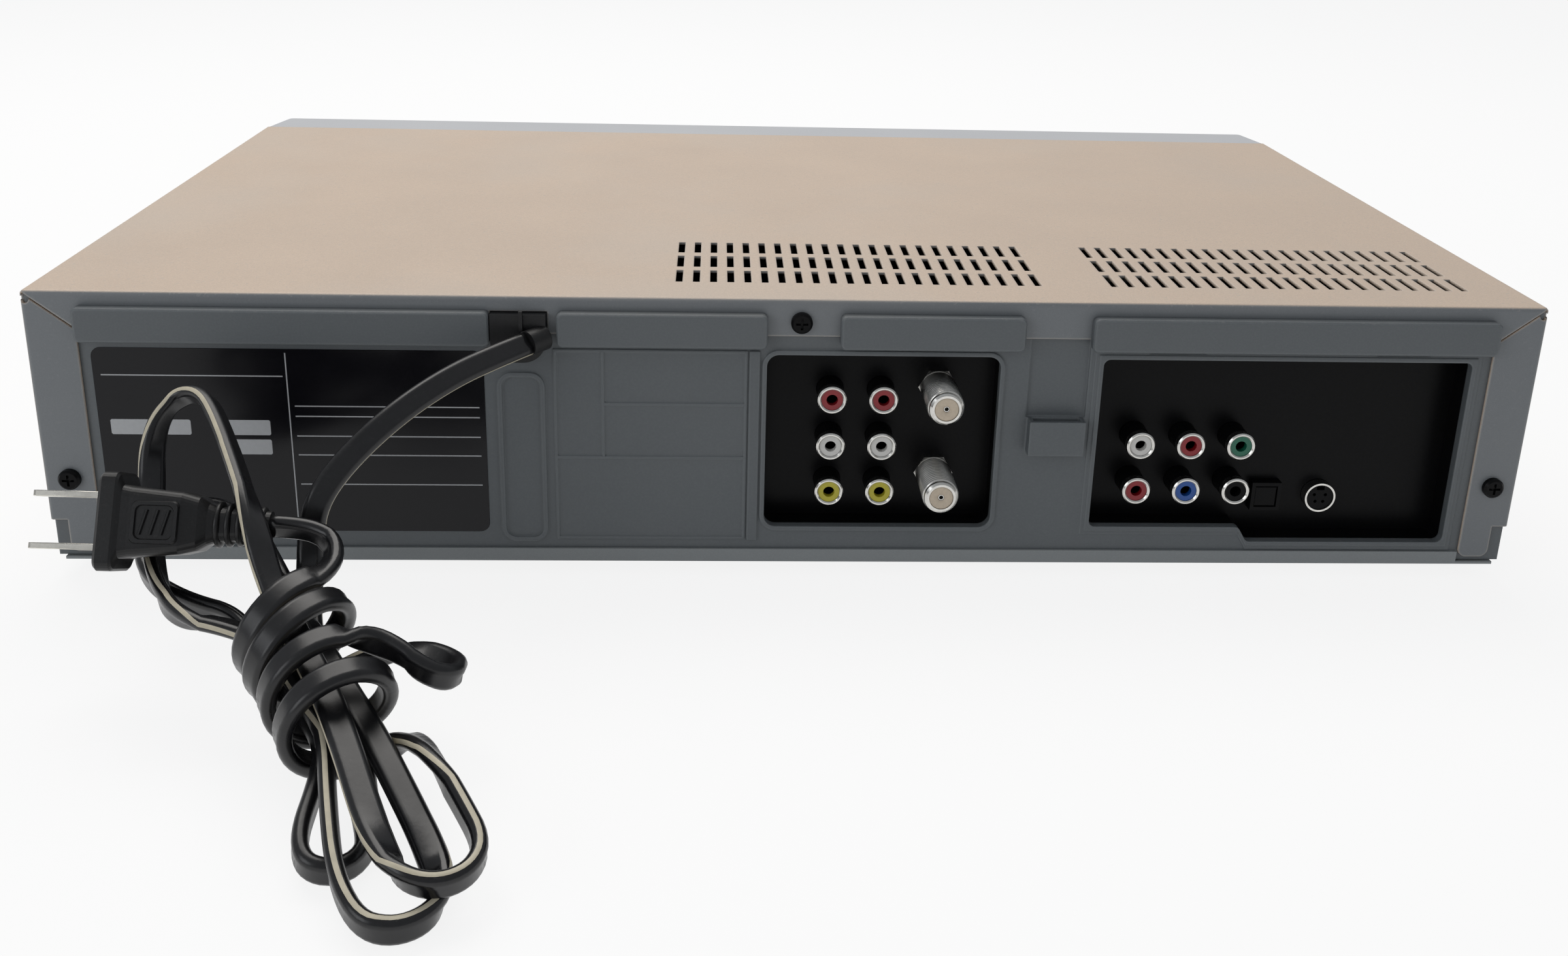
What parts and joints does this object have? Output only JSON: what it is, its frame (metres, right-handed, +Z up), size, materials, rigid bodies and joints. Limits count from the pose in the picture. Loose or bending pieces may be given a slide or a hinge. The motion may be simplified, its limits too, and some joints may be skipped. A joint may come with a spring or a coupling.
{
  "type": "disc player and video cassette recorder combination",
  "caption": "Wide low disc player and video cassette recorder in one housing, with disc tray, cassette door, rear jacks and a tied mains lead.",
  "frame": {"origin": "on the table, under the middle of the player's box without its mains lead", "axes": "+X to the right seen from the front, +Y to the rear, +Z up"},
  "size_m": [0.43, 0.4187, 0.086],
  "materials": {
    "cover_paint": "satin",
    "sheet_grey": "satin",
    "moulding_grey": "fine grain",
    "front_silver": "satin paint",
    "window_smoke": "gloss",
    "black_moulding": "matt",
    "nickel": "bright",
    "red_plastic": "gloss",
    "white_plastic": "gloss",
    "yellow_plastic": "gloss",
    "green_plastic": "gloss",
    "blue_plastic": "gloss",
    "tinned_steel": "satin",
    "board": "satin",
    "core": "matt",
    "sleeve": "gloss",
    "sink": "satin",
    "drive_black": "matt",
    "gear_white": "satin",
    "drum_metal": "polished",
    "rubber": "matt",
    "cord_black": "gloss",
    "blade_metal": "bright"
  },
  "bodies": {
    "housing": {"bottom_plate": "sheet_grey", "chassis_frame": "moulding_grey", "rear_panel": "moulding_grey", "top_cover": "cover_paint", "front_panel": "front_silver", "display_window": "window_smoke", "display_board": "board", "cover_screws": "black_moulding", "feet": "rubber", "tape_jack_housing": "black_moulding", "disc_jack_housing": "black_moulding", "phono_bodies": "black_moulding", "jack_rings": "nickel", "phono_inserts_red": "red_plastic", "phono_inserts_white": "white_plastic", "phono_inserts_yellow": "yellow_plastic", "phono_insert_green": "green_plastic", "phono_insert_blue": "blue_plastic", "aerial_barrels": "nickel", "video_jack": "black_moulding", "optical_jack": "black_moulding", "tuner_box": "tinned_steel", "main_board": "board", "power_board": "board", "transformer": "core", "capacitors": "sleeve", "heat_sink": "sink", "loader_frame": "drive_black", "tray_motor": "tinned_steel", "clamp_bridge": "tinned_steel", "deck_plate": "tinned_steel", "drum_base": "drum_metal", "cassette_cage": "tinned_steel", "cord_gland": "cord_black", "power_cord": "cord_black", "power_cord_hank": "cord_black", "plug_body": "cord_black", "plug_blades": "blade_metal"},
    "tray": {"dvd_tray": "drive_black", "tray_front": "front_silver"},
    "tray_gear": {"tray_gear": "gear_white"},
    "traverse": {"traverse_frame": "drive_black"},
    "turntable": {"turntable": "drive_black"},
    "laser_sled": {"laser_sled": "tinned_steel"},
    "disc_clamper": {"disc_clamper": "gear_white"},
    "head_drum": {"head_drum": "drum_metal"},
    "capstan": {"capstan": "drum_metal"},
    "pinch_lever": {"pinch_lever": "tinned_steel"},
    "pinch_roller": {"pinch_roller": "rubber"},
    "supply_reel": {"supply_reel": "gear_white"},
    "takeup_reel": {"takeup_reel": "gear_white"},
    "cassette_holder": {"cassette_holder": "tinned_steel"},
    "cassette_door": {"cassette_door": "front_silver"},
    "optical_shutter": {"optical_shutter": "black_moulding"},
    "power_button": {"power_button": "front_silver"},
    "tray_button": {"tray_button": "front_silver"},
    "stop_button": {"stop_button": "front_silver"},
    "rewind_button": {"rewind_button": "front_silver"},
    "play_button": {"play_button": "front_silver"},
    "forward_button": {"forward_button": "front_silver"}
  },
  "joints": [
    {"name": "tray_slide", "type": "slide", "parent": "housing", "child": "tray", "axis": [0, -1, 0], "range_m": [0, 0.128]},
    {"name": "tray_gear_spin", "type": "hinge", "parent": "housing", "child": "tray_gear", "pos_m": [-0.17188, -0.11375, 0.057], "axis": [0, 0, 1], "range_deg": [-2, 740]},
    {"name": "traverse_drop", "type": "slide", "parent": "housing", "child": "traverse", "axis": [0, 0, -1], "range_m": [0, 0.004]},
    {"name": "turntable_spin", "type": "hinge", "parent": "traverse", "child": "turntable", "pos_m": [-0.125, -0.06175, 0.065], "axis": [0, 0, 1], "continuous": true},
    {"name": "sled_slide", "type": "slide", "parent": "traverse", "child": "laser_sled", "axis": [0, 1, 0], "range_m": [0, 0.034]},
    {"name": "clamper_spin", "type": "hinge", "parent": "housing", "child": "disc_clamper", "pos_m": [-0.125, -0.06175, 0.072], "axis": [0, 0, 1], "continuous": true},
    {"name": "drum_spin", "type": "hinge", "parent": "housing", "child": "head_drum", "pos_m": [0.095, 0.04275, 0.028], "axis": [0.0958, 0, 0.9954], "continuous": true},
    {"name": "capstan_spin", "type": "hinge", "parent": "housing", "child": "capstan", "pos_m": [0.149, 0.0179, 0.03], "axis": [0, 0, 1], "continuous": true},
    {"name": "pinch_swing", "type": "hinge", "parent": "housing", "child": "pinch_lever", "pos_m": [0.173, 0.0289, 0.025], "axis": [0, 0, 1], "range_deg": [0, 6.5]},
    {"name": "pinch_roller_spin", "type": "hinge", "parent": "pinch_lever", "child": "pinch_roller", "pos_m": [0.149, 0.0289, 0.039], "axis": [0, 0, 1], "continuous": true},
    {"name": "supply_reel_spin", "type": "hinge", "parent": "housing", "child": "supply_reel", "pos_m": [0.049, -0.04875, 0.025], "axis": [0, 0, 1], "continuous": true},
    {"name": "takeup_reel_spin", "type": "hinge", "parent": "housing", "child": "takeup_reel", "pos_m": [0.141, -0.04875, 0.025], "axis": [0, 0, 1], "continuous": true},
    {"name": "cassette_drop", "type": "slide", "parent": "housing", "child": "cassette_holder", "axis": [0, 0, -1], "range_m": [0, 0.02]},
    {"name": "cassette_door_swing", "type": "hinge", "parent": "housing", "child": "cassette_door", "pos_m": [0.095, -0.13095, 0.076], "axis": [1, 0, 0], "range_deg": [0, 80], "stiffness_Nm_per_rad": 0.004, "springref_deg": -17.19},
    {"name": "optical_shutter_swing", "type": "hinge", "parent": "housing", "child": "optical_shutter", "pos_m": [-0.1424, 0.11725, 0.0258], "axis": [-1, 0, 0], "range_deg": [0, 80], "stiffness_Nm_per_rad": 0.0002, "springref_deg": -17.19},
    {"name": "power_button_press", "type": "slide", "parent": "housing", "child": "power_button", "axis": [0, 1, 0], "range_m": [0, 0.001], "stiffness_N_per_m": 400},
    {"name": "tray_button_press", "type": "slide", "parent": "housing", "child": "tray_button", "axis": [0, 1, 0], "range_m": [0, 0.001], "stiffness_N_per_m": 400},
    {"name": "stop_button_press", "type": "slide", "parent": "housing", "child": "stop_button", "axis": [0, 1, 0], "range_m": [0, 0.001], "stiffness_N_per_m": 400},
    {"name": "rewind_button_press", "type": "slide", "parent": "housing", "child": "rewind_button", "axis": [0, 1, 0], "range_m": [0, 0.001], "stiffness_N_per_m": 400},
    {"name": "play_button_press", "type": "slide", "parent": "housing", "child": "play_button", "axis": [0, 1, 0], "range_m": [0, 0.001], "stiffness_N_per_m": 400},
    {"name": "forward_button_press", "type": "slide", "parent": "housing", "child": "forward_button", "axis": [0, 1, 0], "range_m": [0, 0.001], "stiffness_N_per_m": 400}
  ],
  "couplings": [
    {"joint": "tray_gear_spin", "follows": "tray_slide", "rad_per_m": 100}
  ]
}
